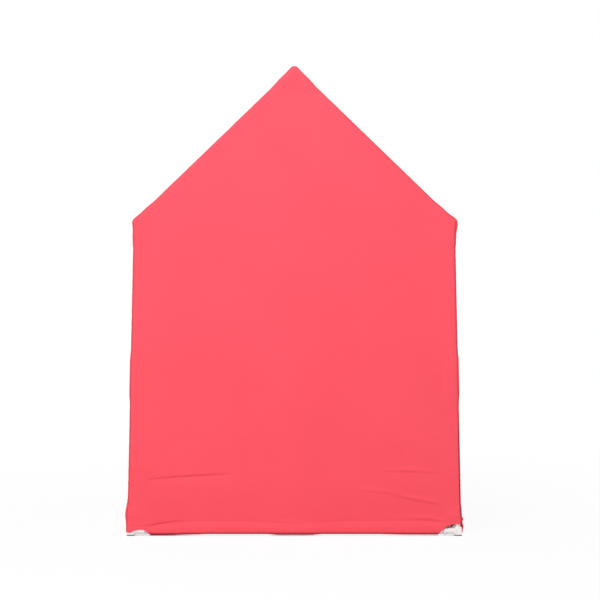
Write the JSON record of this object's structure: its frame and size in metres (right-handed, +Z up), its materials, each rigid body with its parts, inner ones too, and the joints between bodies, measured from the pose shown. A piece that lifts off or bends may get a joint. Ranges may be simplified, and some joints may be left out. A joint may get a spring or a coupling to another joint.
{
  "type": "kids play tent",
  "caption": "House-shaped children's play tent: a push-fit tube frame inside a sewn cloth cover, with a plain back gable and an arched doorway with two flaps.",
  "frame": {"origin": "on the floor under the middle of the tent", "axes": "+Z up, +Y towards the gable with the doorway, -Y towards the plain back gable, +X to the right of someone who faces the back gable"},
  "size_m": [0.931, 1.0108, 1.3],
  "materials": {
    "white_moulding": "satin white moulded plastic",
    "white_tube": "smooth white plastic tube",
    "coral_cloth": "matt woven cloth",
    "coral_fastener": "moulded plastic press fastener"
  },
  "bodies": {
    "tent": {"foot_corner_left_back": "white_moulding", "foot_corner_right_back": "white_moulding", "foot_corner_left_front": "white_moulding", "foot_corner_right_front": "white_moulding", "eave_corner_left_back": "white_moulding", "eave_corner_right_back": "white_moulding", "eave_corner_left_front": "white_moulding", "eave_corner_right_front": "white_moulding", "ridge_corner_back": "white_moulding", "ridge_corner_front": "white_moulding", "back_bottom_rail_left": "white_tube", "back_bottom_rail_right": "white_tube", "back_bottom_rail_coupler": "white_moulding", "front_bottom_rail_left": "white_tube", "front_bottom_rail_right": "white_tube", "front_bottom_rail_coupler": "white_moulding", "left_bottom_rail_back": "white_tube", "left_bottom_rail_front": "white_tube", "left_bottom_rail_coupler": "white_moulding", "right_bottom_rail_back": "white_tube", "right_bottom_rail_front": "white_tube", "right_bottom_rail_coupler": "white_moulding", "left_back_post_lower": "white_tube", "left_back_post_upper": "white_tube", "left_back_post_coupler": "white_moulding", "right_back_post_lower": "white_tube", "right_back_post_upper": "white_tube", "right_back_post_coupler": "white_moulding", "left_front_post_lower": "white_tube", "left_front_post_upper": "white_tube", "left_front_post_coupler": "white_moulding", "right_front_post_lower": "white_tube", "right_front_post_upper": "white_tube", "right_front_post_coupler": "white_moulding", "left_back_rafter": "white_tube", "right_back_rafter": "white_tube", "left_front_rafter": "white_tube", "right_front_rafter": "white_tube", "left_eave_rail_back": "white_tube", "left_eave_rail_front": "white_tube", "left_eave_rail_coupler": "white_moulding", "right_eave_rail_back": "white_tube", "right_eave_rail_front": "white_tube", "right_eave_rail_coupler": "white_moulding", "ridge_rail_back": "white_tube", "ridge_rail_front": "white_tube", "ridge_rail_coupler": "white_moulding", "back_gable": "coral_cloth", "front_gable": "coral_cloth", "left_wall": "coral_cloth", "right_wall": "coral_cloth", "left_roof": "coral_cloth", "right_roof": "coral_cloth", "left_door_stud": "coral_fastener", "right_door_stud": "coral_fastener"},
    "left_door": {"left_door_flap": "coral_cloth", "left_door_socket": "coral_fastener"},
    "right_door": {"right_door_flap": "coral_cloth", "right_door_socket": "coral_fastener"}
  },
  "joints": [
    {"name": "left_door_swing", "type": "hinge", "parent": "tent", "child": "left_door", "pos_m": [-0.203, 0.5018, 0.05], "axis": [0, 0, -1], "range_deg": [0, 180]},
    {"name": "right_door_swing", "type": "hinge", "parent": "tent", "child": "right_door", "pos_m": [0.203, 0.5018, 0.05], "axis": [0, 0, 1], "range_deg": [0, 180]}
  ]
}
